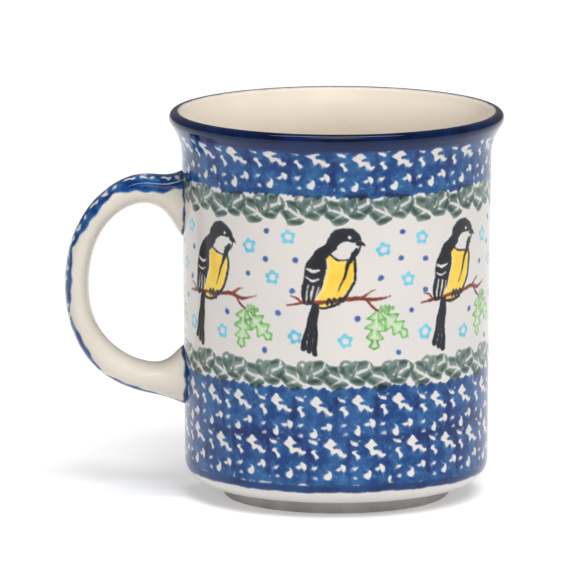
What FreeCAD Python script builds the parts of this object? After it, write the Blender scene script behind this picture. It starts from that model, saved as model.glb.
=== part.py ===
"""Stoneware mug: a turned cup with a flared lip and a foot ring, a handle joined by slip, and glaze coats.

Frame: millimetres, +Z up, origin on the cup's axis in the plane that the foot ring stands on.
The handle is on the -X side.
"""
import FreeCAD
import Part
import math
import os

from FreeCAD import Vector
import Sketcher

# Driving dimensions: alias, value, meaning.
SIZES = [
    ("height", 105.3, "foot ring to top of the lip"),
    ("rim_radius", 45.4, "outermost radius of the lip"),
    ("lip_radius", 1.8, "round of the lip's top"),
    ("lip_swell", 2.5, "round of the lip's outside, below its widest line"),
    ("flare_angle", 31.0, "lean of the cone under the lip, degrees from upright"),
    ("flare_radius", 15.0, "hollow curve between wall and cone"),
    ("wall_top_radius", 41.9, "outside radius where the flare starts"),
    ("wall_low_radius", 41.2, "outside radius where the heel's curve starts"),
    ("heel_radius", 6.5, "round between wall and underside"),
    ("heel_height", 3.9, "underside of the cup outside the foot ring"),
    ("inner_top_radius", 38.2, "inside radius under the flare"),
    ("inner_low_radius", 37.3, "inside radius above the floor's corner"),
    ("bulge_radius", 18.7, "curve inside the cup behind the flare"),
    ("corner_radius", 8.0, "round between inside wall and floor"),
    ("floor_height", 8.2, "inside floor above the table"),
    ("foot_radius", 30.6, "outside radius of the foot ring"),
    ("foot_flare", 0.5, "how much wider the foot ring is at its top"),
    ("foot_round", 0.7, "rounding of the foot ring's standing edges"),
    ("recess_radius", 26.9, "inside radius of the foot ring"),
    ("recess_depth", 2.3, "height of the glazed hollow inside the foot ring"),
    ("coat_edge_radius", 32.4, "where the outer coat stops on the underside"),
    ("glaze", 0.3, "thickness of every glaze coat"),
    ("band_height", 100.8, "lower edge of the cobalt band, on the cone"),
    ("lip_edge_angle", 100.0, "where the cobalt band ends on top of the lip, degrees"),
    ("slip", 0.8, "thickness of the slip that joins the handle to the cup"),
]

# The handle's arch from the upper root to the lower one. Each station: radius from the cup's axis,
# height, heading of the arch in degrees (180 is straight out, 270 is down), half thickness in the
# arch's plane and half width across it.
ARCH = [
    (39.6, 79.5, 180, 10.2, 7.9),
    (42.2, 80.0, 180, 8.6, 7.7),
    (45.6, 81.9, 182, 5.7, 7.2),
    (52.0, 83.8, 191, 4.0, 6.8),
    (60.2, 80.8, 216, 3.55, 6.7),
    (66.8, 73.2, 244, 3.35, 6.6),
    (70.4, 58.0, 269, 3.3, 6.6),
    (68.4, 46.0, 290, 3.45, 6.6),
    (62.8, 37.7, 315, 3.85, 6.9),
    (52.5, 32.3, 347, 4.0, 7.6),
    (45.6, 31.9, 358, 5.3, 8.5),
    (42.0, 32.7, 360, 7.6, 9.3),
    (39.4, 33.0, 360, 8.9, 9.9),
]
STATION_SIZES = ("radius", "height", "heading", "half_thickness", "half_width")
SECTION_ROUNDNESS = 2.25  # exponent of the section's superellipse: 2 is an ellipse, more is squarer
SECTION_POINTS = 20

# How a sketch numbers its own axes and origin, and the two ends of a line or an arc.
HORIZONTAL_AXIS = -1
VERTICAL_AXIS = -2
SKETCH_ORIGIN = (-1, 1)
START = 1
END = 2

doc = FreeCAD.newDocument("mug")


def make_sheet():
    """The spreadsheet that holds every driving dimension, with one alias for each."""
    sheet = doc.addObject("Spreadsheet::Sheet", "sizes")
    rows = list(SIZES)
    for i, station in enumerate(ARCH):
        for name, value in zip(STATION_SIZES, station):
            rows.append((f"arch_{name}_{i:02d}", value, f"handle station {i}"))
    for row, (alias, value, note) in enumerate(rows, start=1):
        sheet.set(f"A{row}", note)
        sheet.set(f"B{row}", str(value))
        sheet.setAlias(f"B{row}", alias)
    doc.recompute()
    return sheet


sizes = make_sheet()

# Formulas in the sheet's terms that several profiles share.
LEAN = "sizes.flare_angle * 1 deg"
LIP_R = "(sizes.rim_radius - sizes.lip_radius)"
LIP_Z = "(sizes.height - sizes.lip_radius)"
SWELL_R = "(sizes.rim_radius - sizes.lip_swell)"
FLARE_R = "(sizes.wall_top_radius + sizes.flare_radius)"
CONE_RUN = f"({SWELL_R} - {FLARE_R} + (sizes.lip_swell + sizes.flare_radius) * cos({LEAN}))"
FLARE_Z = (
    f"({LIP_Z} - (sizes.lip_swell + sizes.flare_radius) * sin({LEAN}) - {CONE_RUN} / tan({LEAN}))"
)
HEEL_R = "(sizes.wall_low_radius - sizes.heel_radius)"
HEEL_Z = "(sizes.heel_height + sizes.heel_radius)"
BULGE_R = "(sizes.inner_top_radius + sizes.bulge_radius)"
FUNNEL_RUN = f"({LIP_R} - {BULGE_R} + (sizes.bulge_radius - sizes.lip_radius) * cos({LEAN}))"
BULGE_Z = (
    f"({LIP_Z} - (sizes.bulge_radius - sizes.lip_radius) * sin({LEAN}) - {FUNNEL_RUN} / tan({LEAN}))"
)
CORNER_R = "(sizes.inner_low_radius - sizes.corner_radius)"
CORNER_Z = "(sizes.floor_height + sizes.corner_radius)"
COAT = "sizes.glaze"
BAND_RUN = f"(({LIP_Z} - sizes.lip_swell * sin({LEAN}) - sizes.band_height) / cos({LEAN}))"


def line(r, z):
    """A corner of a profile, followed by a straight side."""
    return {"r": r, "z": z}


def arc(r, z, centre_r, centre_z, radius, turn):
    """A corner of a profile, followed by an arc. turn is 1 for anticlockwise and -1 for clockwise."""
    return {"r": r, "z": z, "arc": (centre_r, centre_z, radius, turn)}


def below_lip(g):
    """Where the lip's swell meets the cone, g under the glazed surface."""
    swell = f"(sizes.lip_swell - {g})"
    return f"{SWELL_R} + {swell} * cos({LEAN})", f"{LIP_Z} - {swell} * sin({LEAN})"


def band_foot(g):
    """The cobalt band's lower edge, down the cone from the lip's swell, g under the glazed surface."""
    r, z = below_lip(g)
    return f"{r} - {BAND_RUN} * sin({LEAN})", f"{z} - {BAND_RUN} * cos({LEAN})"


def on_lip_edge(radius):
    """The point on the lip where cobalt meets clear glaze, at this distance from the lip's centre."""
    angle = "sizes.lip_edge_angle * 1 deg"
    return f"{LIP_R} + {radius} * cos({angle})", f"{LIP_Z} + {radius} * sin({angle})"


def outside_path(g):
    """The outer surface from the cobalt band down to the heel, g under the glazed surface."""
    hollow = f"(sizes.flare_radius + {g})"
    cone_foot = f"{FLARE_R} - {hollow} * cos({LEAN})", f"{FLARE_Z} + {hollow} * sin({LEAN})"
    return [
        line(*band_foot(g)),
        arc(*cone_foot, FLARE_R, FLARE_Z, hollow, 1),
        line(f"sizes.wall_top_radius - {g}", FLARE_Z),
        arc(f"sizes.wall_low_radius - {g}", HEEL_Z, HEEL_R, HEEL_Z, f"sizes.heel_radius - {g}", -1),
        line(HEEL_R, f"sizes.heel_height + {g}"),
        line("sizes.coat_edge_radius", f"sizes.heel_height + {g}"),
    ]


def band_path(g):
    """The outer surface from the lower edge of the cobalt band over the lip to the band's upper edge."""
    lip = f"(sizes.lip_radius - {g})"
    return [
        line(*band_foot(g)),
        arc(*below_lip(g), SWELL_R, LIP_Z, f"sizes.lip_swell - {g}", 1),
        arc(f"sizes.rim_radius - {g}", LIP_Z, LIP_R, LIP_Z, lip, 1),
        line(*on_lip_edge(lip)),
    ]


def inside_path(g):
    """The inner surface from the cobalt's edge on the lip, down the wall and across the floor."""
    lip = f"(sizes.lip_radius - {g})"
    bulge = f"(sizes.bulge_radius - {g})"
    corner = f"(sizes.corner_radius + {g})"
    return [
        arc(*on_lip_edge(lip), LIP_R, LIP_Z, lip, 1),
        line(f"{LIP_R} - {lip} * cos({LEAN})", f"{LIP_Z} + {lip} * sin({LEAN})"),
        arc(
            f"{BULGE_R} - {bulge} * cos({LEAN})",
            f"{BULGE_Z} + {bulge} * sin({LEAN})",
            BULGE_R,
            BULGE_Z,
            bulge,
            1,
        ),
        line(f"{BULGE_R} - {bulge}", BULGE_Z),
        arc(f"sizes.inner_low_radius + {g}", CORNER_Z, CORNER_R, CORNER_Z, corner, -1),
        line(CORNER_R, f"sizes.floor_height - {g}"),
        line("0", f"sizes.floor_height - {g}"),
    ]


def reverse(path):
    """The same corners and arcs, walked the other way."""
    back = []
    for i in range(len(path) - 1, -1, -1):
        corner = line(path[i]["r"], path[i]["z"])
        if i > 0 and "arc" in path[i - 1]:
            centre_r, centre_z, radius, turn = path[i - 1]["arc"]
            corner["arc"] = (centre_r, centre_z, radius, -turn)
        back.append(corner)
    return back


def foot_path():
    """Raw clay from the outer coat's edge, round the foot ring and into the hollow under the floor."""
    r, z = "sizes.foot_round", "sizes.foot_round"
    top = "sizes.heel_height"
    return [
        line("sizes.coat_edge_radius", top),
        line("sizes.foot_radius + sizes.foot_flare", top),
        arc("sizes.foot_radius", z, f"sizes.foot_radius - {r}", z, r, -1),
        line(f"sizes.foot_radius - {r}", "0"),
        arc(f"sizes.recess_radius + {r}", "0", f"sizes.recess_radius + {r}", z, r, -1),
        line("sizes.recess_radius", z),
        line("sizes.recess_radius", f"sizes.recess_depth + {COAT}"),
        line("0", f"sizes.recess_depth + {COAT}"),
    ]


def pin(sketch, geometry, position, axis, formula):
    """Holds one coordinate of a point at a formula in the sheet's terms."""
    if formula == "0":
        zero_line = VERTICAL_AXIS if axis == "X" else HORIZONTAL_AXIS
        sketch.addConstraint(Sketcher.Constraint("PointOnObject", geometry, position, zero_line))
        return
    value = float(sketch.evalExpression(formula))
    index = sketch.addConstraint(
        Sketcher.Constraint("Distance" + axis, *SKETCH_ORIGIN, geometry, position, value)
    )
    sketch.setExpression(f"Constraints[{index}]", formula)


def draw(sketch, path):
    """Draws a closed profile and binds every corner and radius to the sheet."""
    points = [
        Vector(float(sketch.evalExpression(c["r"])), float(sketch.evalExpression(c["z"])), 0) for c in path
    ]
    ends = []
    for i, corner in enumerate(path):
        start, end = points[i], points[(i + 1) % len(path)]
        if "arc" not in corner:
            index = sketch.addGeometry(Part.LineSegment(start, end), False)
            ends.append((index, START, END))
            continue
        centre_r, centre_z, radius, turn = corner["arc"]
        centre = Vector(*(float(sketch.evalExpression(f)) for f in (centre_r, centre_z)), 0)
        first, last = (start, end) if turn > 0 else (end, start)
        angles = [math.atan2(p.y - centre.y, p.x - centre.x) for p in (first, last)]
        if angles[1] < angles[0]:
            angles[1] += 2 * math.pi
        size = float(sketch.evalExpression(radius))
        circle = Part.Circle(centre, Vector(0, 0, 1), size)
        index = sketch.addGeometry(Part.ArcOfCircle(circle, *angles), False)
        bound = sketch.addConstraint(Sketcher.Constraint("Radius", index, size))
        sketch.setExpression(f"Constraints[{bound}]", radius)
        ends.append((index, START, END) if turn > 0 else (index, END, START))
    for i, (index, first, last) in enumerate(ends):
        following, start, _ = ends[(i + 1) % len(ends)]
        sketch.addConstraint(Sketcher.Constraint("Coincident", index, last, following, start))
        pin(sketch, index, first, "X", path[i]["r"])
        pin(sketch, index, first, "Y", path[i]["z"])


def turned(label, path):
    """A body that is the closed profile turned once round the cup's axis."""
    body = doc.addObject("PartDesign::Body", label + "_body")
    plane = next(f for f in body.Origin.OriginFeatures if f.Role == "XZ_Plane")
    sketch = body.newObject("Sketcher::SketchObject", label + "_profile")
    sketch.AttachmentSupport = [(plane, "")]
    sketch.MapMode = "FlatFace"
    doc.recompute()
    draw(sketch, path)
    doc.recompute()
    turn = body.newObject("PartDesign::Revolution", label + "_turn")
    turn.Profile = sketch
    turn.ReferenceAxis = (sketch, ["V_Axis"])
    turn.Angle = 360
    doc.recompute()
    return body


def without(label, base, tool):
    """What is left of one object when another is cut away from it."""
    cut = doc.addObject("Part::Cut", label)
    cut.Base = base
    cut.Tool = tool
    doc.recompute()
    return cut


def section(radius, height, heading, half_thickness, half_width):
    """A closed superellipse wire across the arch, its plane square to the heading."""
    place = Vector(-radius, 0, height)
    angle = math.radians(heading)
    outward = Vector(math.sin(angle), 0, -math.cos(angle))
    across = Vector(0, 1, 0)
    points = []
    for i in range(SECTION_POINTS):
        turn = 2 * math.pi * i / SECTION_POINTS
        cosine, sine = math.cos(turn), math.sin(turn)
        a = math.copysign(abs(cosine) ** (2 / SECTION_ROUNDNESS), cosine)
        b = math.copysign(abs(sine) ** (2 / SECTION_ROUNDNESS), sine)
        points.append(place + outward * (a * half_thickness) + across * (b * half_width))
    curve = Part.BSplineCurve()
    curve.interpolate(points, PeriodicFlag=True)
    return Part.Wire([curve.toShape()])


def arch(label, depth):
    """The handle's whole arch as one solid, depth under its glazed surface, from root to root."""
    wires = []
    for i in range(len(ARCH)):
        radius, height, heading, thickness, width = (
            sizes.get(f"arch_{name}_{i:02d}") for name in STATION_SIZES
        )
        wires.append(section(radius, height, heading, thickness - depth, width - depth))
    feature = doc.addObject("Part::Feature", label)
    feature.Shape = Part.makeLoft(wires, True, False)
    return feature


def common(label, base, tool):
    """Where two objects overlap."""
    both = doc.addObject("Part::MultiCommon", label)
    both.Shapes = [base, tool]
    doc.recompute()
    return both


def filled_cup(label, g):
    """The cup's outer shape as a solid blank with nothing inside, g outside the clay's surface."""
    depth = f"({COAT} - {g})"
    _, top = band_foot(depth)
    on_axis = [line("0", f"sizes.heel_height + {depth}"), line("0", top)]
    return turned(label, outside_path(depth) + on_axis)


def height_range(label, low, high):
    """A block on the handle's side between two heights, to pick one root of the handle."""
    block = doc.addObject("Part::Box", label)
    block.setExpression("Length", "2 * sizes.rim_radius")
    block.setExpression("Width", "2 * sizes.rim_radius")
    block.setExpression("Height", f"{high} - {low}")
    block.setExpression("Placement.Base.x", "-2 * sizes.rim_radius")
    block.setExpression("Placement.Base.y", "-sizes.rim_radius")
    block.setExpression("Placement.Base.z", low)
    doc.recompute()
    return block


def make_cup():
    """The turned clay cup, under its coats."""
    clay = COAT
    over_the_lip = reverse(inside_path(clay))[:-1] + reverse(band_path(clay))[:-1]
    return turned("cup_clay", outside_path(clay) + foot_path() + over_the_lip)


def make_base_coat():
    """The clear coat in the hollow inside the foot ring."""
    disc = doc.addObject("Part::Cylinder", "base_coat")
    disc.setExpression("Radius", "sizes.recess_radius")
    disc.setExpression("Height", "sizes.glaze")
    disc.setExpression("Placement.Base.z", "sizes.recess_depth")
    doc.recompute()
    return disc


def make_parts():
    """Every sub-part as an object of the document, by its node's name."""
    core = arch("arch_clay", sizes.get("glaze"))
    skin = arch("arch_glazed", 0.0)
    clay_blank = filled_cup("clay_blank", "0")
    slip_blank = filled_cup("slip_blank", "sizes.slip")
    glazed_blank = filled_cup("glazed_blank", COAT)
    joints = without("slip_in_place", common("slip_reach", core, slip_blank), clay_blank)
    lower_half = height_range("lower_half", "0", "sizes.height / 2")
    upper_half = height_range("upper_half", "sizes.height / 2", "sizes.height")
    outer_coat = turned("wall_coat", outside_path("0") + reverse(outside_path(COAT)))
    return {
        "cup_body": make_cup(),
        "handle": without("handle_clay", core, slip_blank),
        "upper_slip_joint": common("upper_joint", joints, upper_half),
        "lower_slip_joint": common("lower_joint", joints, lower_half),
        "inner_glaze": turned("inner_coat", inside_path("0") + reverse(inside_path(COAT))),
        "rim_glaze": turned("rim_coat", band_path("0") + reverse(band_path(COAT))),
        "outer_glaze": without("outer_coat", outer_coat, core),
        "handle_glaze": without("handle_coat", without("arch_outside", skin, glazed_blank), core),
        "base_glaze": make_base_coat(),
    }


def check_document():
    """Stops if any object of the document failed to recompute."""
    bad = [o.Name for o in doc.Objects if "Invalid" in o.State or "Error" in o.State]
    if bad:
        raise RuntimeError(f"these objects failed: {bad}")


def write_parts(parts):
    """Checks each sub-part's shape and writes it to parts/NODE.step."""
    os.makedirs("parts", exist_ok=True)
    for node, feature in parts.items():
        feature.Label = node
        shape = feature.Shape
        if shape.isNull() or not shape.isValid() or not shape.Solids:
            raise RuntimeError(f"{node} has no valid solid")
        print(f"{node}: {len(shape.Solids)} solid, {shape.Volume:.1f} mm3, {shape.BoundBox}")
    for node, feature in parts.items():
        feature.Shape.exportStep(f"parts/{node}.step")


sub_parts = make_parts()
doc.recompute()
check_document()
write_parts(sub_parts)
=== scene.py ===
import math

import bpy
import numpy as np
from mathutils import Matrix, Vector


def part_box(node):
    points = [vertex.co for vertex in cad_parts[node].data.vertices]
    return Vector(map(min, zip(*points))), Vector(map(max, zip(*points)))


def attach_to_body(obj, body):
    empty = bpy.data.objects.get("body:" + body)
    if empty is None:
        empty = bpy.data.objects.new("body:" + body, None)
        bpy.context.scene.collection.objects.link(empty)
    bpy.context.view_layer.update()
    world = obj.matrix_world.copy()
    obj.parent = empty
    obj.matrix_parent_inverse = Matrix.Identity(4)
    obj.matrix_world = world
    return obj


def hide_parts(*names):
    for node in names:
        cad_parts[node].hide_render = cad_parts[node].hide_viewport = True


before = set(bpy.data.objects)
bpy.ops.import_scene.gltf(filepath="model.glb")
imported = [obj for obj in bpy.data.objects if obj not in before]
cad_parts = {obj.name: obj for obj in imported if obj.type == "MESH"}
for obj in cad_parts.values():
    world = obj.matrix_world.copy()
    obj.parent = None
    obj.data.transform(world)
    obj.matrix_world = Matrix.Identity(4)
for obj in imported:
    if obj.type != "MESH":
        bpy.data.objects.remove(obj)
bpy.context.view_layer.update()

# Sizes are in millimetres, and MM turns them into the frame's metres.
MM = 0.001


def box_mm(node):
    """A CAD node's lowest and highest corners, in millimetres."""
    low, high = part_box(node)
    return low / MM, high / MM


RIM_LOW, RIM_HIGH = box_mm("rim_glaze")
RIM_RADIUS = RIM_HIGH.x
HEIGHT = RIM_HIGH.z
BAND_HEIGHT = RIM_LOW.z
HEEL_HEIGHT = box_mm("outer_glaze")[0].z
GLAZE = 0.3  # thickness of every coat
FLOOR_HEIGHT = box_mm("inner_glaze")[0].z + GLAZE

# The cup's profile. Its arcs have a radius each, and an R and a Z for their centres.
LIP_RADIUS = 1.8  # rounding of the lip's top and inner side
LIP_SWELL = 2.5  # rounding of its outer side, down to the cone
LEAN = math.radians(31.0)  # the cone under the lip, from upright
FLARE_RADIUS = 15.0  # bend between the cone and the wall
WALL_TOP_RADIUS = 41.9
WALL_LOW_RADIUS = 41.2
HEEL_RADIUS = 6.5  # rounding between the wall and the underside
COAT_EDGE_RADIUS = 32.4  # where the painted coat ends on the underside
INNER_TOP_RADIUS = 38.2
INNER_LOW_RADIUS = 37.3
BULGE_RADIUS = 18.7  # bend inside, behind the flare
CORNER_RADIUS = 8.0  # rounding between the inner wall and the floor
LIP_EDGE = 100.0  # degrees round the lip where cobalt gives way to the cream coat

LIP_R, LIP_Z = RIM_RADIUS - LIP_RADIUS, HEIGHT - LIP_RADIUS
SWELL_R = RIM_RADIUS - LIP_SWELL
FLARE_R = WALL_TOP_RADIUS + FLARE_RADIUS
CONE_RUN = SWELL_R - FLARE_R + (LIP_SWELL + FLARE_RADIUS) * math.cos(LEAN)
FLARE_Z = LIP_Z - (LIP_SWELL + FLARE_RADIUS) * math.sin(LEAN) - CONE_RUN / math.tan(LEAN)
BULGE_R = INNER_TOP_RADIUS + BULGE_RADIUS
FUNNEL_RUN = LIP_R - BULGE_R + (BULGE_RADIUS - LIP_RADIUS) * math.cos(LEAN)
BULGE_Z = LIP_Z - (BULGE_RADIUS - LIP_RADIUS) * math.sin(LEAN) - FUNNEL_RUN / math.tan(LEAN)
HEEL_R, HEEL_Z = WALL_LOW_RADIUS - HEEL_RADIUS, HEEL_HEIGHT + HEEL_RADIUS
CORNER_R, CORNER_Z = INNER_LOW_RADIUS - CORNER_RADIUS, FLOOR_HEIGHT + CORNER_RADIUS

# The handle's arch: radius from the cup's axis, height, heading in degrees, half thickness, half width.
ARCH = (
    (39.6, 79.5, 180, 10.2, 7.9), (42.2, 80.0, 180, 8.6, 7.7), (45.6, 81.9, 182, 5.7, 7.2),
    (52.0, 83.8, 191, 4.0, 6.8), (60.2, 80.8, 216, 3.55, 6.7), (66.8, 73.2, 244, 3.35, 6.6),
    (70.4, 58.0, 269, 3.3, 6.6), (68.4, 46.0, 290, 3.45, 6.6), (62.8, 37.7, 315, 3.85, 6.9),
    (52.5, 32.3, 347, 4.0, 7.6), (45.6, 31.9, 358, 5.3, 8.5), (42.0, 32.7, 360, 7.6, 9.3),
    (39.4, 33.0, 360, 8.9, 9.9),
)
SECTION_ROUNDNESS = 2.25  # exponent of the strap's section: 2 is an ellipse, more is squarer
UPPER_ROOT, LOWER_ROOT = (79.9, 9.0, 7.7), (32.8, 8.0, 9.45)  # height, half height, half width

# Painting is laid out on the wall unrolled: u runs round the cup from its front towards +X.
WALL_RADIUS = 41.6
AROUND = 2 * math.pi * WALL_RADIUS
HANDLE_U = -AROUND / 4
FAR = 3.0  # a distance that counts as unpainted
FINE, COARSE = 0.32, 0.42  # spacing of the meshes' points
PICTURE_LOW, PICTURE_HIGH = 35.0, 91.0  # heights between which the wall's mesh is fine
PAINTING_SEED = 7

# How far the hand slips at most, in mm across and up, and in degrees.
BIRD_SLIP_UP, BIRD_SLIP_TURN = 0.3, 1.5
LEAF_SLIPS = (0.35, 0.3, 7)
STAMP_SLIPS = (0.5, 0.4, 3, 0.03)  # the last is a change of size
SCATTER_SLIPS = (0.5, 0.5, 15)
SLOW_SWAY, QUICK_SWAY = 0.12, 0.07  # mm by which lines wander

BIRDS, BIRD_HEIGHT = 7, 60.0
GARLAND_LEAVES, GARLAND_HEIGHTS, GARLAND_SIZE = 44, (40.0, 84.8), 0.9
LEAF_RISE, LEAF_TILT = 0.7, 16  # a border's leaves go so far up and down, in mm and in degrees, in turn
STAMPS = 23
STAMP_ROWS = ((28.6, 5.0), (16.9, -2.6), (95.4, 4.3))  # height and the first stamp's place
STAMP_REACH = (10, 11)  # how far a sponge stamp reaches across and up
BASE_LINE_HEIGHT, BASE_LINE_HALF = 8.8, 1.15
ROOT_LINE_OFFSET, ROOT_LINE_HALF, ROOT_LINE_POOL = 0.3, 0.22, 0.2
HANDLE_STAMPS, HANDLE_STAMP_START, HANDLE_STAMP_PITCH = 13, 8.0, 9.8
HANDLE_GAPS_HALF, HANDLE_GAPS_WIDER = 5.0, 0.12  # where the strap's bare marks end, and how they grow
BLUE_HALF, SCALLOP_DEPTH, SCALLOP_LENGTH = 4.7, 2.0, 17.0  # the strap's blue and its scalloped edges
UPPER_SPREAD, UPPER_LENGTH = 2.8, 22.0  # how much wider it is at the upper root, and over what length

LOBE_LEAN, VEIN_LEAN = 0.35, 0.9  # how much a leaf's lobes and veins slant to its tip
RIB_HALF, RIB_TAPER, RIB_SHARE = 0.36, 0.02, 0.85  # the share is of the leaf's length
VEIN_HALF, VEIN_MARGIN = 0.26, 0.7  # the margin is between the veins and the leaf's edge
FLOWER_RADIUS, PETAL_DEPTH, FLOWER_HOLE = 1.5, 0.65, 0.85
DOT_SIZE = (1.75, 1.65)

# The sponge's face is a sum of waves, and where it is deepest it leaves the wall bare.
SPONGE_SEED, SPONGE_WAVES, WAVE_LENGTHS = 17, 9, (3.4, 8.2)
SPONGE_HALF = (5.7, 5.9)
SPONGE_CLOSES = 0.84  # how far out towards its edge the face starts to close
SPONGE_WARPS = (0.55, 0.2)  # how far slow and quick waves push the marks about
BARE_SHARE = 0.17
BLOT_HALF, BLOT_SCALE = (6.8, 7.8), 7.0  # the scale turns the blot's ratio into mm


# ---- shapes as signed distances in mm, negative inside ----

def curve(points, steps=4):
    """A smooth open curve through the points, each with as many values as it likes."""
    p = np.array(points, float)
    last = len(p) - 1
    found = []
    for i in range(last):
        a, b, c, d = (p[min(max(i + k, 0), last)] for k in (-1, 0, 1, 2))
        for s in np.arange(steps) / steps:
            found.append(b + 0.5 * s * (c - a + s * (2 * a - 5 * b + 4 * c - d + s * (3 * (b - c) + d - a))))
    return np.array(found + [p[-1]])


def stroke(x, y, *points):
    """A brush stroke through points of (x, y, radius)."""
    line = curve(points)
    nearest = np.full(x.shape, np.inf)
    for (ax, ay, ar), (bx, by, br) in zip(line, line[1:]):
        ex, ey, px, py = bx - ax, by - ay, x - ax, y - ay
        along = np.clip((px * ex + py * ey) / (ex * ex + ey * ey), 0, 1)
        nearest = np.minimum(nearest, np.hypot(px - ex * along, py - ey * along) - ar - (br - ar) * along)
    return nearest


def turned(x, y, x0, y0, degrees):
    """Coordinates about a point, along axes turned anticlockwise."""
    c, s = math.cos(math.radians(degrees)), math.sin(math.radians(degrees))
    return (x - x0) * c + (y - y0) * s, (y - y0) * c - (x - x0) * s


def oval(x, y, x0, y0, width, height, degrees=0.0):
    """An ellipse."""
    p, q = turned(x, y, x0, y0, degrees)
    a, b = width / 2, height / 2
    near = np.hypot(p / a, q / b)
    return near * (near - 1) / np.maximum(np.hypot(p / a**2, q / b**2), 1e-6)


def leaf(x, y, x0, y0, length, width, degrees, lobes, cut):
    """A lobed leaf that grows from a point in a direction, and its midrib and side veins."""
    p, q = turned(x, y, x0, y0, degrees)
    t = np.clip(p / length, 0, 1)
    forward = t - LOBE_LEAN * np.abs(q) / length
    lobed = 1 - cut * (0.5 + 0.5 * np.cos(2 * math.pi * lobes * forward))
    half = width / 2 * np.sin(math.pi * t**0.8) ** 0.55 * lobed
    shape = np.maximum(np.abs(q) - half, np.maximum(-p, p - length))
    rib = np.maximum(np.abs(q) - RIB_HALF + RIB_TAPER * p, np.maximum(-p, p - RIB_SHARE * length))
    slant = (p - VEIN_LEAN * np.abs(q)) * lobes / length - 0.5
    veins = np.abs(slant - np.round(slant)) * length / lobes - VEIN_HALF
    return shape, np.minimum(rib, np.maximum(veins, shape + VEIN_MARGIN))


def flower(x, y, petals=5):
    """A ring of rounded petals round a bare centre."""
    r, a = np.hypot(x, y), np.arctan2(y, x)
    petal = np.abs(np.cos(petals / 2 * (a - math.pi / 2)))
    return np.maximum(r - FLOWER_RADIUS - PETAL_DEPTH * petal, FLOWER_HOLE - r)


# ---- motifs: functions from local coordinates to {layer: distance} ----

def bird(x, y):
    """A small songbird in profile, built from ovals, with its feet at the origin."""
    body = oval(x, y, -1.9, 6.7, 13.4, 18.4, -20)
    wing = oval(x, y, -6.3, 5.6, 5.4, 15.0, -18)
    head = oval(x, y, 1.9, 15.1, 9.0, 8.6)
    cheek = oval(x, y, 2.5, 14.2, 5.4, 3.1, 10)
    cap = np.maximum(head, 14.3 + 0.3 * x - y)
    nape = stroke(x, y, (-1.4, 14.6, 1.5), (-4.4, 12.2, 1.9), (-6.8, 9.0, 1.6))
    bib = stroke(
        x, y, (5.2, 13.6, 0.6), (4.3, 11.9, 0.85), (2.9, 9.4, 0.55), (1.6, 5.6, 0.35), (0.2, 2.4, 0.15)
    )
    beak = stroke(x, y, (5.8, 15.5, 0.8), (6.8, 15.2, 0.5), (7.7, 14.5, 0.12))
    outline = np.abs(body + 0.15) - 0.4
    black = np.minimum.reduce([cap, nape, bib, beak, outline, wing, np.abs(head) - 0.3])
    black = np.maximum(black, -np.maximum(cheek, -bib))
    bars = np.minimum(
        stroke(x, y, (-8.1, 8.4, 0.2), (-6.3, 7.7, 0.4), (-4.6, 8.2, 0.2)),
        stroke(x, y, (-8.4, 6.2, 0.14), (-6.7, 5.4, 0.28), (-5.0, 5.8, 0.14)),
    )
    feathers = np.minimum.reduce([
        stroke(x, y, (-6.8 + k, 3.9 - 0.2 * k, 0.16), (-7.3 + k, 0.9, 0.2), (-7.6 + 0.9 * k, -1.0, 0.08))
        for k in (-0.9, 0.4, 1.7)
    ])
    glint = oval(x, y, 3.5, 16.9, 0.8, 0.8)
    black = np.maximum(black, -np.minimum.reduce([bars, feathers, glint]))
    tail = np.minimum.reduce([
        stroke(x, y, (-6.0 + 0.5 * k, -1.2, 0.6), (-7.2 + 0.9 * k, -7.4, 0.62),
               (-8.0 + 1.35 * k, -13.6 - 0.7 * k, 0.85))
        for k in (-0.9, 0.25, 1.4)
    ])
    toes = np.minimum.reduce([
        stroke(x, y, (k - 0.5, -1.2, 0.34), (k - 0.1, 0.5, 0.4), (k + 0.6, -0.5, 0.3))
        for k in (-2.2, -0.9, 0.9)
    ])
    breast = np.maximum.reduce([body + 0.3, -(wing - 0.25), -(head - 0.2)])
    return {"black": np.minimum.reduce([black, tail, toes]), "yellow": breast}


def twig(x, y):
    """A thin branch with two spurs that the bird stands on."""
    line = np.minimum.reduce([
        stroke(x, y, (-13.4, -1.5, 0.3), (-8.6, -0.7, 0.5), (-2.0, -0.4, 0.56), (5.0, 0.5, 0.58),
               (10.4, -0.1, 0.48), (14.6, 0.9, 0.16)),
        stroke(x, y, (-9.6, -0.9, 0.34), (-11.2, 0.6, 0.28), (-12.8, 1.2, 0.12)),
        stroke(x, y, (6.4, 0.5, 0.4), (8.6, 2.0, 0.32), (10.3, 2.5, 0.14)),
        stroke(x, y, (7.6, 0.4, 0.42), (9.3, -1.7, 0.4), (11.0, -3.0, 0.34)),
    ])
    return {"brown": line}


def sprig(x, y):
    """Three lobed leaves that hang from the twig's spur."""
    found = [leaf(x, y, 10.9, -2.9, length, width, degrees, 4, 0.6)
             for length, width, degrees in ((11.0, 6.4, -96), (11.6, 6.2, -42), (4.6, 2.8, 2))]
    return {
        "green": np.minimum.reduce([np.maximum(shape, 0.05 - veins) for shape, veins in found]),
        "vein": np.minimum.reduce([np.maximum(np.abs(shape + 0.3) - 0.42, -veins) for shape, veins in found]),
    }


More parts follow.
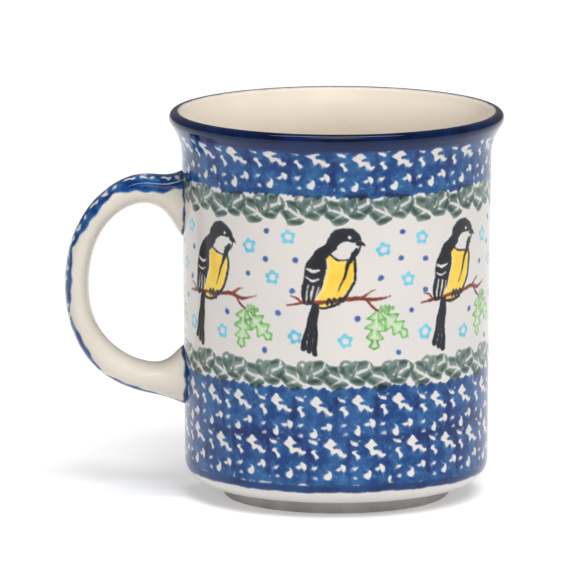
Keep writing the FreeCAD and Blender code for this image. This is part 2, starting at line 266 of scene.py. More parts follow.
def garland_leaf(x, y):
    """One leaf of the running borders, with pale veins and a darker lower side."""
    shape, veins = leaf(x, y, -4.4, -0.8, 9.0, 8.2, 8, 2, 0.16)
    curl = np.abs(oval(x, y, -3.7, 2.3, 3.0, 3.8, -25)) - 0.5
    dark = np.minimum.reduce([
        stroke(x, y, (-3.4, -1.9, 0.3), (-0.8, -2.7, 0.8), (1.8, -2.0, 0.6), (3.6, -0.3, 0.2)),
        stroke(x, y, (-2.0, 1.3, 0.2), (0.2, 2.3, 0.65), (2.4, 1.9, 0.25)),
        stroke(x, y, (-4.7, 0.2, 0.25), (-4.8, 1.7, 0.35), (-4.0, 2.9, 0.2)),
    ])
    return {"sage": np.minimum(np.maximum(shape, 0.1 - veins), curl), "shade": dark}


def blot(x, y):
    """The patch of blue that one sponge stamp leaves, with a ragged edge."""
    ragged = 0.45 * np.sin(1.9 * x + 0.4) + 0.35 * np.sin(2.3 * y + 1.1) + 0.25 * np.sin(3.7 * x - 2.9 * y)
    half_x, half_y = BLOT_HALF
    return ((np.abs(x / half_x) ** 4 + np.abs(y / half_y) ** 4) ** 0.25 - 1) * BLOT_SCALE + ragged


def sponge_depth(x, y):
    """How deep the sponge's face is, closing towards its edge, and how steep."""
    random = np.random.default_rng(SPONGE_SEED)
    out = np.maximum(np.abs(x) / SPONGE_HALF[0], np.abs(y) / SPONGE_HALF[1])
    edge = np.maximum(out - SPONGE_CLOSES, 0) / (1 - SPONGE_CLOSES)
    slow, quick = SPONGE_WARPS
    ragged_x = x + slow * np.sin(2.2 * y + 0.7 * x) + quick * np.sin(4.3 * y)
    ragged_y = y + slow * np.sin(2.0 * x - 0.8 * y + 1.0) + quick * np.sin(4.1 * x + 2.0)
    depth, slope_x, slope_y = np.zeros((3,) + x.shape)
    for _ in range(SPONGE_WAVES):
        length, (direction, phase) = random.uniform(*WAVE_LENGTHS), random.uniform(0, 2 * math.pi, 2)
        kx, ky = 2 * math.pi / length * math.cos(direction), 2 * math.pi / length * math.sin(direction)
        angle = kx * ragged_x + ky * ragged_y + phase
        depth += np.cos(angle)
        slope_x -= kx * np.sin(angle)
        slope_y -= ky * np.sin(angle)
    return depth - 4 * edge**2, np.hypot(slope_x, slope_y) + edge


def bare_depth(samples=120):
    """The depth that only the sponge's bare share goes beyond."""
    face = np.meshgrid(*(np.linspace(-half, half, samples) for half in SPONGE_HALF))
    return np.quantile(sponge_depth(*face)[0], 1 - BARE_SHARE)


BARE_DEPTH = bare_depth()


def sponge_gaps(x, y, least_slope=0.6):
    """The bare marks inside one sponge stamp."""
    depth, slope = sponge_depth(x, y)
    return (BARE_DEPTH - depth) / np.maximum(slope, least_slope)


def blossom(x, y):
    """A small flower."""
    return {"cyan": flower(x, y)}


def round_dot(x, y):
    """A dot, touched on with the tip of the brush."""
    return {"dot": oval(x, y, 0, 0, *DOT_SIZE)}


# ---- the painting ----

LAYERS = (
    "black", "yellow", "brown",
    "green", "vein", "cyan",
    "dot", "sage", "shade",
    "sponge", "overlap", "line",
)

# How far each motif reaches from its origin, across and up.
REACH = {
    sprig: (24, 18), twig: (18, 7), bird: (16, 23),
    garland_leaf: (8, 8), blossom: (5, 5), round_dot: (5, 5),
}


def unrolled(u):
    """Distances round the wall, brought to within half a turn of zero."""
    return (u + AROUND / 2) % AROUND - AROUND / 2


class Painting:
    """Signed distances from points of the unrolled wall to every painted colour."""

    def __init__(self, u, z):
        self.u, self.z = u, z
        self.layers = {name: np.full((len(z), len(u)), FAR) for name in LAYERS}
        self.random = np.random.default_rng(PAINTING_SEED)

    def window(self, u0, z0, reach_u, reach_z, degrees):
        """The points near a place and their coordinates about it, turned and unsteadied as by a hand."""
        du, dz = unrolled(self.u - u0), self.z - z0
        rows, columns = np.flatnonzero(np.abs(dz) < reach_z), np.flatnonzero(np.abs(du) < reach_u)
        x, y = np.meshgrid(du[columns], dz[rows])
        p, q = x + u0, y + z0
        sway_x = SLOW_SWAY * np.sin(0.55 * p + 0.9 * q) + QUICK_SWAY * np.sin(1.37 * p - 0.63 * q + 1)
        sway_y = SLOW_SWAY * np.sin(0.74 * p - 0.8 * q + 2) + QUICK_SWAY * np.sin(1.18 * p + 1.1 * q)
        return (np.ix_(rows, columns),) + turned(x + sway_x, y + sway_y, 0, 0, degrees)

    def stamp(self, motif, u0, z0, degrees, size=1.0, flip=1):
        """Adds one motif."""
        place, x, y = self.window(u0, z0, *REACH[motif], degrees)
        for name, distance in motif(flip * x / size, y / size).items():
            layer = self.layers[name]
            layer[place] = np.minimum(layer[place], distance * size)

    def sponge(self, u0, z0, degrees, size):
        """Adds one sponge stamp's blue. Its gaps are opened later, so that no neighbour covers them."""
        place, x, y = self.window(u0, z0, *STAMP_REACH, degrees)
        patch = blot(x / size, y / size) * size
        layer, both = self.layers["sponge"], self.layers["overlap"]
        both[place] = np.minimum(both[place], np.maximum(layer[place], patch))
        layer[place] = np.minimum(layer[place], patch)
        return u0, z0, degrees, size

    def open_gaps(self, stamps):
        """Leaves every stamp's gaps bare."""
        for u0, z0, degrees, size in stamps:
            place, x, y = self.window(u0, z0, *STAMP_REACH, degrees)
            gaps = sponge_gaps(x / size, y / size) * size
            for name in ("sponge", "overlap"):
                self.layers[name][place] = np.maximum(self.layers[name][place], -gaps)


def paint_sponge_rows(wall):
    """Rows of sponge stamps, two below the picture and one above it."""
    stamps = []
    for z0, first in STAMP_ROWS:
        for k in range(STAMPS):
            du, dz, lean, grow = wall.random.uniform(-1, 1, 4) * STAMP_SLIPS
            stamps.append(wall.sponge(first + k * AROUND / STAMPS + du, z0 + dz, lean, 1 + grow))
    wall.open_gaps(stamps)


def paint_garlands(wall):
    """The borders above and below the picture, of leaves that lean up and down in turn."""
    for z0 in GARLAND_HEIGHTS:
        for k in range(GARLAND_LEAVES):
            du, dz, lean = wall.random.uniform(-1, 1, 3) * LEAF_SLIPS
            up = 1 if k % 2 else -1
            u0, height = k * AROUND / GARLAND_LEAVES + du, z0 + LEAF_RISE * up + dz
            wall.stamp(garland_leaf, u0, height, LEAF_TILT * up + lean, GARLAND_SIZE, up)


def paint_birds(wall):
    """The birds, each on its twig with a sprig of leaves."""
    for k in range(BIRDS):
        dz = wall.random.uniform(-BIRD_SLIP_UP, BIRD_SLIP_UP)
        lean = wall.random.uniform(-BIRD_SLIP_TURN, BIRD_SLIP_TURN)
        for motif in (sprig, twig, bird):
            wall.stamp(motif, k * AROUND / BIRDS, BIRD_HEIGHT + dz, lean)


# Places beside each bird that neither it nor its twig reaches: across and up from its feet.
FLOWERS = ((12.8, 14.0), (24.4, 16.6), (19.8, 5.8), (2.6, -10.6), (25.4, -9.6))
DOTS = (
    (17.9, 18.0), (17.0, 10.8), (25.6, 10.4), (11.6, 6.4),
    (24.8, 2.4), (21.2, -3.6), (5.0, -5.0), (16.8, -14.4),
)


def paint_scatter(wall):
    """Flowers and dots strewn between the birds, in a layout that repeats with small slips of the hand."""
    for k in range(BIRDS):
        for motif, places in ((blossom, FLOWERS), (round_dot, DOTS)):
            for u0, z0 in places:
                du, dz, lean = wall.random.uniform(-1, 1, 3) * SCATTER_SLIPS
                wall.stamp(motif, k * AROUND / BIRDS + u0 + du, BIRD_HEIGHT + z0 + dz, lean)


def paint_lines(wall):
    """The ring above the heel, the ragged edge under the lip and the lines round the handle's roots."""
    u, z = np.meshgrid(wall.u, wall.z)
    angle = u / WALL_RADIUS
    sway = 0.12 * np.sin(5 * angle) + 0.1 * np.sin(17 * angle + 2) + 0.06 * np.sin(41 * angle)
    ring = np.abs(z - BASE_LINE_HEIGHT - sway) - BASE_LINE_HALF
    under_lip = BAND_HEIGHT - 0.7 + 2.0 * sway - z
    lines = np.minimum(ring, under_lip)
    du = unrolled(u - HANDLE_U)
    for height, half_height, half_width in (UPPER_ROOT, LOWER_ROOT):
        edge = oval(du, z, 0, height, 2 * half_width, 2 * half_height)
        pooled = ROOT_LINE_HALF + ROOT_LINE_POOL * np.clip((height - z) / half_height, 0, 1) + 0.5 * sway
        lines = np.minimum(lines, np.abs(edge - ROOT_LINE_OFFSET) - pooled)
    wall.layers["line"] = lines


def paint_wall(u, z):
    """The whole painting, in the order in which it is put on."""
    wall = Painting(u, z)
    paint_sponge_rows(wall)
    paint_garlands(wall)
    paint_birds(wall)
    paint_scatter(wall)
    paint_lines(wall)
    return wall


# ---- surfaces ----

def arc(centre_r, centre_z, radius, start, end, step=FINE):
    """Points of a profile's arc between two angles in degrees."""
    count = max(4, math.ceil(math.radians(abs(end - start)) * radius / step))
    angles = np.radians(np.linspace(start, end, count + 1))
    return np.stack([centre_r + radius * np.cos(angles), centre_z + radius * np.sin(angles)], 1)


def spaced(path, step):
    """The path's points again, as far apart as step(height) says."""
    path = np.vstack(path)
    run = np.r_[0, np.cumsum(np.hypot(*np.diff(path, axis=0).T))]
    place, places = 0.0, []
    while place < run[-1]:
        places.append(place)
        place += step(np.interp(place, run, path[:, 1]))
    places.append(run[-1])
    return np.stack([np.interp(places, run, path[:, k]) for k in (0, 1)], 1)


def band_foot():
    """The cobalt band's lower edge, on the cone under the lip."""
    r, z = SWELL_R + LIP_SWELL * math.cos(LEAN), LIP_Z - LIP_SWELL * math.sin(LEAN)
    return r - (z - BAND_HEIGHT) * math.tan(LEAN), BAND_HEIGHT


def outside_path():
    """The profile's outer side, from the cobalt band down to the coat's edge on the underside."""
    lean = math.degrees(LEAN)
    return [
        [band_foot()],
        arc(FLARE_R, FLARE_Z, FLARE_RADIUS, 180 - lean, 180),
        arc(HEEL_R, HEEL_Z, HEEL_RADIUS, 0, -90),
        [(COAT_EDGE_RADIUS, HEEL_HEIGHT), (COAT_EDGE_RADIUS, HEEL_HEIGHT + GLAZE)],
    ]


def lip_path():
    """The cobalt band's profile, up the outer side and over the lip."""
    lean = math.degrees(LEAN)
    return [
        [band_foot()],
        arc(SWELL_R, LIP_Z, LIP_SWELL, -lean, 0),
        arc(LIP_R, LIP_Z, LIP_RADIUS, 0, LIP_EDGE),
    ]


def inside_path():
    """The profile's inner side, from the lip down to the middle of the floor."""
    lean = math.degrees(LEAN)
    return [
        arc(LIP_R, LIP_Z, LIP_RADIUS, LIP_EDGE, 180 - lean),
        arc(BULGE_R, BULGE_Z, BULGE_RADIUS, 180 - lean, 180),
        arc(CORNER_R, CORNER_Z, CORNER_RADIUS, 0, -90),
        [(0.05, FLOOR_HEIGHT)],
    ]


def grid_mesh(name, points):
    """An object whose quads join a grid of points in metres. Its columns always close into a ring."""
    rows, columns = points.shape[:2]
    here = np.arange(rows * columns).reshape(rows, columns)
    right = np.roll(here, -1, 1)
    faces = np.stack([here[:-1], here[1:], right[1:], right[:-1]], -1).reshape(-1)
    mesh = bpy.data.meshes.new(name)
    mesh.vertices.add(rows * columns)
    mesh.vertices.foreach_set("co", points.reshape(-1))
    mesh.loops.add(len(faces))
    mesh.loops.foreach_set("vertex_index", faces)
    mesh.polygons.add(len(faces) // 4)
    mesh.polygons.foreach_set("loop_start", np.arange(0, len(faces), 4))
    mesh.update(calc_edges=True)
    mesh.shade_smooth()
    piece = bpy.data.objects.new(name, mesh)
    bpy.context.scene.collection.objects.link(piece)
    return piece


def revolved(profile, u):
    """The profile swept round the axis, one column for each place on the unrolled wall."""
    angle = u / WALL_RADIUS
    r, z = profile[:, :1], profile[:, 1:]
    height = np.broadcast_to(z, (len(profile), len(u)))
    return np.stack([r * np.sin(angle), -r * np.cos(angle), height], -1) * MM


def attach(piece, name, *values):
    """Stores up to three numbers for each point of a piece, as one vector."""
    values = list(values) + [np.zeros_like(values[0])] * (3 - len(values))
    attribute = piece.data.attributes.new(name, "FLOAT_VECTOR", "POINT")
    vectors = np.stack([value.reshape(-1) for value in values], 1)
    attribute.data.foreach_set("vector", vectors.astype(np.float32).reshape(-1))


def finish_piece(piece, material, node):
    """Gives a piece its material and hangs it on the root, in place of a CAD coat, which it hides."""
    piece.data.materials.append(material)
    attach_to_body(piece, "root")
    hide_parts(node)


# ---- materials ----

def srgb(red, green, blue):
    """A colour given as it looks on screen, from 0 to 255, as the shader wants it."""
    def linear(c):
        c /= 255
        return c / 12.92 if c <= 0.04045 else ((c + 0.055) / 1.055) ** 2.4
    return linear(red), linear(green), linear(blue), 1.0


class Nodes:
    """Builds one material's node tree."""

    def __init__(self, name):
        self.material = bpy.data.materials.new(name)
        self.material.use_nodes = True
        self.tree = self.material.node_tree
        self.shader = self.tree.nodes["Principled BSDF"]
        self.place = self.tree.nodes.new("ShaderNodeTexCoord").outputs["Object"]

    def put(self, socket, value):
        """Sets a socket, or links it to another."""
        if isinstance(value, bpy.types.NodeSocket):
            self.tree.links.new(value, socket)
        else:
            socket.default_value = value

    def math(self, operation, a, b=0.0):
        """One step of arithmetic."""
        node = self.tree.nodes.new("ShaderNodeMath")
        node.operation = operation
        self.put(node.inputs[0], a)
        self.put(node.inputs[1], b)
        return node.outputs[0]

    def noise(self, size, detail=2.0, seed=0.0):
        """Noise from 0 to 1 with features about so many mm across."""
        node = self.tree.nodes.new("ShaderNodeTexNoise")
        node.noise_dimensions = "4D"
        self.put(node.inputs["Vector"], self.place)
        self.put(node.inputs["W"], seed)
        self.put(node.inputs["Scale"], 1 / (size * MM))
        self.put(node.inputs["Detail"], detail)
        return node.outputs["Fac"]

    def cloud(self, size, detail, seed, to_low=0.0, to_high=1.0):
        """Noise whose usual range is spread from one value to another."""
        return self.span(self.noise(size, detail, seed), 0.3, 0.7, to_low, to_high)

    def span(self, value, low, high, to_low=0.0, to_high=1.0):
        """The value's way from low to high, smoothed and set to another range."""
        node = self.tree.nodes.new("ShaderNodeMapRange")
        node.interpolation_type = "SMOOTHSTEP"
        for socket, number in zip(node.inputs[:5], (value, low, high, to_low, to_high)):
            self.put(socket, number)
        return node.outputs[0]

    def mix(self, factor, a, b, blend="MIX"):
        """Colour a with b over it."""
        node = self.tree.nodes.new("ShaderNodeMix")
        node.data_type, node.blend_type = "RGBA", blend
        self.put(node.inputs["Factor"], factor)
        self.put(node.inputs[6], a)
        self.put(node.inputs[7], b)
        return node.outputs[2]

    def parts(self, vector):
        """A vector's three numbers."""
        node = self.tree.nodes.new("ShaderNodeSeparateXYZ")
        self.put(node.inputs[0], vector)
        return node.outputs

    def stored(self, name):
        """The three numbers stored at each point under a name."""
        node = self.tree.nodes.new("ShaderNodeAttribute")
        node.attribute_name = name
        return self.parts(node.outputs["Vector"])

    def bump(self, height, depth, under=None):
        """Relief of so many mm where height goes from 0 to 1."""
        node = self.tree.nodes.new("ShaderNodeBump")
        self.put(node.inputs["Height"], height)
        self.put(node.inputs["Distance"], depth * MM)
        if under:
            self.put(node.inputs["Normal"], under)
        return node.outputs[0]

    def specks(self, size, threshold, seed):
        """1 in small scattered spots, 0 between them."""
        return self.span(self.noise(size, 0.0, seed), threshold, threshold + 0.04)

    def speckled(self, colour, specks, strength, speck_colour):
        """The colour with specks of another in it."""
        return self.mix(self.math("MULTIPLY", specks, strength), colour, speck_colour)

    def finished(self, colour, normal):
        """The material, with its colour and its relief."""
        self.put(self.shader.inputs["Base Color"], colour)
        self.put(self.shader.inputs["Normal"], normal)
        return self.material


GLAZE_IOR, GLAZE_SPECULAR = 1.52, 0.28


def gloss(nodes, low=0.07, high=0.14):
    """Glaze: a gloss that wanders a little, over faint orange peel and wider unevenness."""
    nodes.put(nodes.shader.inputs["Roughness"], nodes.cloud(9.0, 3.0, 4.0, low, high))
    nodes.put(nodes.shader.inputs["IOR"], GLAZE_IOR)
    nodes.put(nodes.shader.inputs["Specular IOR Level"], GLAZE_SPECULAR)
    peel = nodes.bump(nodes.noise(2.2, 1.0, 1.0), 0.012)
    return nodes.bump(nodes.noise(14.0, 1.0, 2.0), 0.07, peel)


# Layer, its colour where thick and where thin, how softly its edge ends in mm, and how much it covers.
PIGMENTS = (
    ("sponge", (0, 56, 116), (50, 106, 158), 0.36, 1.0),
    ("overlap", (140, 162, 200), (206, 218, 236), 0.6, 1.0),
    ("sage", (92, 124, 124), (148, 172, 168), 0.3, 1.0),
    ("shade", (104, 134, 124), (156, 178, 168), 0.45, 0.9),
    ("green", (122, 188, 100), (166, 216, 142), 0.35, 0.9),
    ("vein", (118, 178, 108), (158, 204, 140), 0.3, 0.85),
    ("cyan", (66, 170, 204), (116, 200, 222), 0.3, 0.95),
    ("dot", (24, 70, 142), (60, 106, 170), 0.32, 0.97),
    ("yellow", (238, 196, 54), (250, 216, 104), 0.24, 1.0),
    ("brown", (92, 30, 22), (142, 60, 42), 0.26, 1.0),
    ("line", (0, 38, 88), (22, 66, 124), 0.34, 1.0),
    ("black", (14, 18, 24), (34, 40, 50), 0.24, 1.0),
)
MULTIPLIED = ("overlap", "shade", "sage", "vein")  # these darken what is under them
STORED = {"paint_a": LAYERS[:3], "paint_b": LAYERS[3:6], "paint_c": LAYERS[6:9], "paint_d": LAYERS[9:]}
EDGE_WANDER = 0.42  # mm between the furthest that a painted edge strays in and out
POOL_REACH = 1.3  # mm from a shape's edge to where its pigment is thickest
POOL_WEIGHT, FLOW_WEIGHT = 0.5, 0.6


def painted(nodes, colour, distances, pigments=PIGMENTS):
    """Lays one pigment after another over a colour. Each fades at its edge and gets thicker inwards."""
    wander = nodes.math("MULTIPLY", nodes.math("SUBTRACT", nodes.noise(1.1, 1.0, 11.0), 0.5), EDGE_WANDER)
    broad = nodes.span(nodes.noise(5.5, 2.0, 12.0), 0.36, 0.66)
    fleck = nodes.span(nodes.noise(1.0, 1.0, 13.0), 0.3, 0.75, -0.12, 0.12)
    flow = nodes.math("ADD", broad, fleck)
    for name, thick, thin, edge, cover in pigments:
        distance = nodes.math("ADD", distances[name], wander)
        pooled = nodes.math("MULTIPLY", nodes.span(distance, 0.0, -POOL_REACH), POOL_WEIGHT)
        depth = nodes.math("ADD", nodes.math("MULTIPLY", flow, FLOW_WEIGHT), pooled)
        pigment = nodes.mix(nodes.math("MINIMUM", depth, 1.0), srgb(*thin), srgb(*thick))
        mask = nodes.math("MULTIPLY", nodes.span(distance, edge, -edge), cover)
        colour = nodes.mix(mask, colour, pigment, "MULTIPLY" if name in MULTIPLIED else "MIX")
    return colour


def glaze_white(nodes, warm, cool):
    """Glazed white stoneware: cloudy, with a rare iron speck."""
    colour = nodes.mix(nodes.cloud(16.0, 3.0, 3.0), srgb(*warm), srgb(*cool))
    return nodes.speckled(colour, nodes.specks(0.8, 0.81, 5.0), 0.2, srgb(120, 96, 74))


HEEL_SHADE_FADE, HEEL_SHADE = 3.6, 0.7  # mm over which painted shade darkens the heel towards its bottom, and how strongly it greys the white


def painted_glaze():
    """White glaze with the painting on it, greyed over the heel by painted shade."""
    nodes = Nodes("painted_glaze")
    distances = {}
    for name, layers in STORED.items():
        distances.update(zip(layers, nodes.stored(name)))
    white = glaze_white(nodes, (220, 213, 207), (213, 209, 206))
    _, _, height = nodes.parts(nodes.place)
    # painted shade: the white turns grey towards the bottom of the heel
    heel = nodes.span(height, (HEEL_HEIGHT + HEEL_SHADE_FADE) * MM, HEEL_HEIGHT * MM, 0.0, HEEL_SHADE)
    colour = painted(nodes, nodes.mix(heel, white, srgb(170, 168, 171)), distances)
    relief = nodes.span(distances["sponge"], 0.3, -0.3)
    return nodes.finished(colour, nodes.bump(relief, 0.02, gloss(nodes)))


def cobalt_glaze():
    """Deep cobalt in cloudy patches, a little lighter towards the band's lower edge, with light specks."""
    nodes = Nodes("cobalt_glaze")
    colour = nodes.mix(nodes.cloud(7.0, 3.0, 21.0), srgb(8, 30, 74), srgb(0, 12, 42))
    below, _, _ = nodes.stored("edge")
    colour = nodes.mix(nodes.span(below, 3.6, 0.4, 0.0, 0.6), colour, srgb(4, 38, 90))
    colour = nodes.speckled(colour, nodes.specks(0.5, 0.78, 22.0), 0.25, srgb(58, 80, 128))
    return nodes.finished(colour, gloss(nodes, 0.05, 0.1))


def inner_glaze():
    """Cream with rare brown specks, and a ragged, greyed seam where it meets the cobalt."""
    nodes = Nodes("inner_glaze")
    to_cobalt, _, _ = nodes.stored("edge")
    ragged = nodes.math("ADD", to_cobalt, nodes.math("MULTIPLY", nodes.noise(2.0, 2.0, 31.0), 0.5))
    colour = nodes.mix(nodes.cloud(22.0, 2.0, 32.0), srgb(233, 222, 207), srgb(227, 215, 199))
    colour = nodes.speckled(colour, nodes.specks(0.8, 0.8, 33.0), 0.22, srgb(150, 112, 76))
    colour = nodes.mix(nodes.span(ragged, 1.5, 0.5, 0.0, 0.6), colour, srgb(150, 140, 140))
    colour = nodes.mix(nodes.span(ragged, 0.75, 0.25), colour, srgb(28, 42, 78))
    return nodes.finished(colour, gloss(nodes, 0.14, 0.22))


def handle_glaze():
    """A warmer white than the wall's, with the strap's sponged blue on it."""
    nodes = Nodes("handle_glaze")
    sponge, overlap, line = nodes.stored("paint_h")
    distances = {"sponge": sponge, "overlap": overlap, "line": line}
    chosen = [p for p in PIGMENTS if p[0] in distances]
    colour = painted(nodes, glaze_white(nodes, (219, 211, 198), (212, 205, 193)), distances, chosen)
    return nodes.finished(colour, gloss(nodes))


def raw_clay(name, light, dark):
    """Unglazed fired clay: cloudy, with a fine grain, a few pinholes and a rubbed sheen."""
    nodes = Nodes(name)
    colour = nodes.mix(nodes.cloud(8.0, 4.0, 41.0), srgb(*light), srgb(*dark))
    grain = nodes.span(nodes.noise(0.25, 2.0, 42.0), 0.4, 0.75, 0.0, 0.22)
    colour = nodes.mix(grain, colour, srgb(128, 120, 112))
    colour = nodes.speckled(colour, nodes.specks(0.4, 0.74, 43.0), 0.4, srgb(96, 84, 74))
    nodes.put(nodes.shader.inputs["Roughness"], nodes.cloud(3.0, 3.0, 44.0, 0.55, 0.75))
    grit = nodes.bump(nodes.noise(0.3, 3.0, 45.0), 0.02)
    return nodes.finished(colour, nodes.bump(nodes.specks(0.5, 0.74, 46.0), -0.04, grit))


def clear_glaze():
    """The off-white coat in the hollow of the foot."""
    nodes = Nodes("clear_glaze")
    return nodes.finished(glaze_white(nodes, (226, 220, 210), (214, 210, 204)), gloss(nodes, 0.1, 0.2))


# ---- pieces ----

def columns_apart(step):
    """Places round the unrolled wall about so far apart."""
    count = round(AROUND / step)
    return (np.arange(count) / count - 0.5) * AROUND


def make_wall():
    """The painted wall and heel."""
    profile = spaced(outside_path(), lambda z: FINE if PICTURE_LOW < z < PICTURE_HIGH else COARSE)
    u = columns_apart(FINE)
    painting = paint_wall(u, profile[:, 1])
    piece = grid_mesh("painted_wall", revolved(profile, u))
    for name, layers in STORED.items():
        attach(piece, name, *(painting.layers[layer] for layer in layers))
    finish_piece(piece, painted_glaze(), "outer_glaze")


def make_lip():
    """The cobalt lip, which stores each point's height above the band's lower edge."""
    profile = spaced(lip_path(), lambda z: FINE)[::-1]
    u = columns_apart(2 * COARSE)
    piece = grid_mesh("cobalt_lip", revolved(profile, u))
    attach(piece, "edge", np.repeat(profile[:, 1:] - BAND_HEIGHT, len(u), 1))
    finish_piece(piece, cobalt_glaze(), "rim_glaze")


def make_inside():
    """The cream inside, which stores each point's distance along the profile from the cobalt."""
    profile = spaced(inside_path(), lambda z: FINE if z > BAND_HEIGHT else 2.5 * COARSE)
    u = columns_apart(2 * COARSE)
    piece = grid_mesh("cream_inside", revolved(profile, u)[::-1])
    run = np.r_[0, np.cumsum(np.hypot(*np.diff(profile, axis=0).T))][::-1]
    attach(piece, "edge", np.repeat(run[:, None], len(u), 1))
    finish_piece(piece, inner_glaze(), "inner_glaze")


def spline(places, values, wanted):
    """A natural cubic spline through values, read at the wanted places."""
    h = np.diff(places)[:, None]
    slope = np.diff(values, axis=0) / h
    n = len(places)
    matrix, right = np.eye(n), np.zeros_like(values)
    for i in range(1, n - 1):
        matrix[i, i - 1:i + 2] = h[i - 1, 0], 2 * (h[i - 1, 0] + h[i, 0]), h[i, 0]
        right[i] = 6 * (slope[i] - slope[i - 1])
    curved = np.linalg.solve(matrix, right)
    k = np.clip(np.searchsorted(places, wanted, "right") - 1, 0, n - 2)
    t = (wanted - places[k])[:, None]
    low = slope[k] - h[k] * (2 * curved[k] + curved[k + 1]) / 6
    return values[k] + t * (low + t * (curved[k] / 2 + t * (curved[k + 1] - curved[k]) / (6 * h[k])))


def handle_grid(around_points=120):
    """The glazed strap's points in mm, with each row's run along it and each point's run round it."""
    stations = np.array(ARCH, float)
    turns = 2 * math.pi * np.arange(around_points) / around_points
    cosine, sine = np.cos(turns), np.sin(turns)
    a = np.sign(cosine) * np.abs(cosine) ** (2 / SECTION_ROUNDNESS)
    b = np.sign(sine) * np.abs(sine) ** (2 / SECTION_ROUNDNESS)
    rings = []
    for radius, height, heading, thick, wide in stations:
        h = math.radians(heading)
        ring = [-radius + math.sin(h) * a * thick, b * wide, height - math.cos(h) * a * thick]
        rings.append(np.stack(ring, 1).reshape(-1))
    run = np.r_[0, np.cumsum(np.hypot(*np.diff(stations[:, :2], axis=0).T))]
    wanted = np.linspace(0, run[-1], round(run[-1] / FINE))
    points = spline(run, np.array(rings), wanted).reshape(len(wanted), around_points, 3)
    step = np.linalg.norm(points - np.roll(points, 1, 1), axis=2)
    one_way = np.cumsum(step, 1) - step[:, :1]
    whole = step.sum(1, keepdims=True)
    return points, wanted, np.where(one_way > whole / 2, one_way - whole, one_way)


def paint_handle(points, along, across):
    """Sponge stamps down the outer face and a line where the strap meets the wall."""
    s = np.broadcast_to(along[:, None], across.shape)
    scallops = SCALLOP_DEPTH * np.abs(np.sin(math.pi * (s - 4.0) / SCALLOP_LENGTH)) ** 0.7
    reach = BLUE_HALF + scallops + UPPER_SPREAD * np.exp(-(s / UPPER_LENGTH) ** 2)
    edge = np.abs(across) - reach - 0.2 * np.sin(1.3 * s + 0.3 * across)
    gaps, both = np.full(s.shape, FAR), np.full(s.shape, FAR)
    for k in range(HANDLE_STAMPS):
        s0, w0 = HANDLE_STAMP_START + HANDLE_STAMP_PITCH * k, 0.5 * math.sin(2.3 * k)
        x, y = turned(s, across, s0, w0, 90 + 9 * math.sin(5.1 * k))
        both = np.minimum(both, np.abs(blot(x, y)) - 0.6)
        gaps = np.minimum(gaps, sponge_gaps(x, y))
    gaps = np.maximum(gaps - HANDLE_GAPS_WIDER, np.abs(across) - HANDLE_GAPS_HALF)
    off_wall = np.hypot(points[..., 0], points[..., 1]) - WALL_TOP_RADIUS
    line = off_wall - 0.3 - 0.15 * np.sin(1.1 * across)
    return np.maximum(edge, -gaps), np.maximum.reduce([both, edge, -gaps]), line


def make_handle():
    """The handle's glazed and painted skin."""
    points, along, across = handle_grid()
    piece = grid_mesh("handle_skin", points * MM)
    attach(piece, "paint_h", *paint_handle(points, along, across))
    finish_piece(piece, handle_glaze(), "handle_glaze")


def dress_cad():
    """Better materials for the CAD nodes that stay."""
    clay = raw_clay("fired_clay", (184, 180, 176), (162, 158, 154))
    slip = raw_clay("slip", (186, 176, 162), (168, 158, 146))
    for node, material in (("cup_body", clay), ("handle", clay), ("upper_slip_joint", slip),
                           ("lower_slip_joint", slip), ("base_glaze", clear_glaze())):
        for k in range(len(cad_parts[node].material_slots)):
            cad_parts[node].material_slots[k].material = material


# ---- stage, in metres ----

FLOOR_HALF, FLOOR_ROUGHNESS, FLOOR_GLOW = 6.0, 0.6, 0.3
ROOM_LIGHT = 0.2

# Each lamp's place, its width along X, its depth and its power.
LAMPS = {
    "top": ((0, -0.05, 1.5), 1.4, 0.24, 8.5),
    "front": ((0, -0.75, 1.4), 0.8, 0.8, 3.0),
}
SKY_FROM, SKY_ANGLE, SKY_POWER = (0.24, -0.72, 1.0), math.radians(32), 2.0
CAMERA_PLACE, CAMERA_DOWN = (-0.01328, -2.4, 0.47254), 0.171622  # the angle is in radians
CAMERA_SENSOR, CAMERA_LENS = 36.0, 562.07  # mm


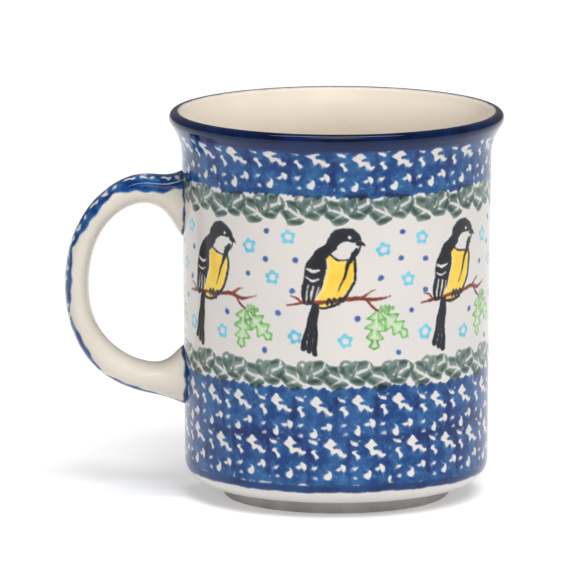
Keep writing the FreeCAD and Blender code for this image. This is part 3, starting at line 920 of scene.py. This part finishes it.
def make_floor():
    """White paper with a faint glow of its own, which keeps the picture's ground white."""
    mesh = bpy.data.meshes.new("floor")
    corners = [(x * FLOOR_HALF, y * FLOOR_HALF, 0) for x, y in ((-1, -1), (1, -1), (1, 1), (-1, 1))]
    mesh.from_pydata(corners, [], [(0, 1, 2, 3)])
    floor = bpy.data.objects.new("floor", mesh)
    bpy.context.scene.collection.objects.link(floor)
    nodes = Nodes("floor")
    paper = nodes.mix(nodes.noise(40.0, 2.0, 51.0), (0.86, 0.86, 0.86, 1), (0.9, 0.9, 0.9, 1))
    nodes.put(nodes.shader.inputs["Base Color"], paper)
    nodes.put(nodes.shader.inputs["Roughness"], FLOOR_ROUGHNESS)
    nodes.put(nodes.shader.inputs["Emission Color"], (1, 1, 1, 1))
    nodes.put(nodes.shader.inputs["Emission Strength"], FLOOR_GLOW)
    mesh.materials.append(nodes.material)


def make_lamp(name, place, width, depth, power):
    """A large soft lamp that faces the middle of the mug."""
    data = bpy.data.lights.new(name, "AREA")
    data.shape, data.size, data.size_y, data.energy = "ELLIPSE", width, depth, power
    lamp = bpy.data.objects.new(name, data)
    lamp.location = place
    aim = Vector((0, 0, HEIGHT * MM / 2)) - lamp.location
    lamp.rotation_euler = aim.to_track_quat("-Z", "Y").to_euler()
    bpy.context.scene.collection.objects.link(lamp)


def make_room():
    """Even white light from all round."""
    world = bpy.data.worlds.new("studio")
    world.use_nodes = True
    light = world.node_tree.nodes["Background"].inputs
    light["Color"].default_value = (1, 1, 1, 1)
    light["Strength"].default_value = ROOM_LIGHT
    bpy.context.scene.world = world


def make_sky():
    """A very wide sun, for the soft shadow. The gloss doesn't mirror it."""
    data = bpy.data.lights.new("sky", "SUN")
    data.energy, data.angle = SKY_POWER, SKY_ANGLE
    lamp = bpy.data.objects.new("sky", data)
    lamp.rotation_euler = Vector(SKY_FROM).to_track_quat("Z", "Y").to_euler()
    lamp.visible_glossy = False
    bpy.context.scene.collection.objects.link(lamp)


def make_camera():
    """The photograph's viewpoint: level from side to side, and tilted down."""
    data = bpy.data.cameras.new("camera")
    data.sensor_width, data.lens = CAMERA_SENSOR, CAMERA_LENS
    camera = bpy.data.objects.new("camera", data)
    camera.location = CAMERA_PLACE
    camera.rotation_euler = (math.pi / 2 - CAMERA_DOWN, 0, 0)
    bpy.context.scene.collection.objects.link(camera)
    bpy.context.scene.camera = camera


make_wall()
make_lip()
make_inside()
make_handle()
dress_cad()
make_floor()
make_room()
for name, values in LAMPS.items():
    make_lamp(name, *values)
make_sky()
make_camera()
bpy.context.scene.view_settings.view_transform = "Standard"
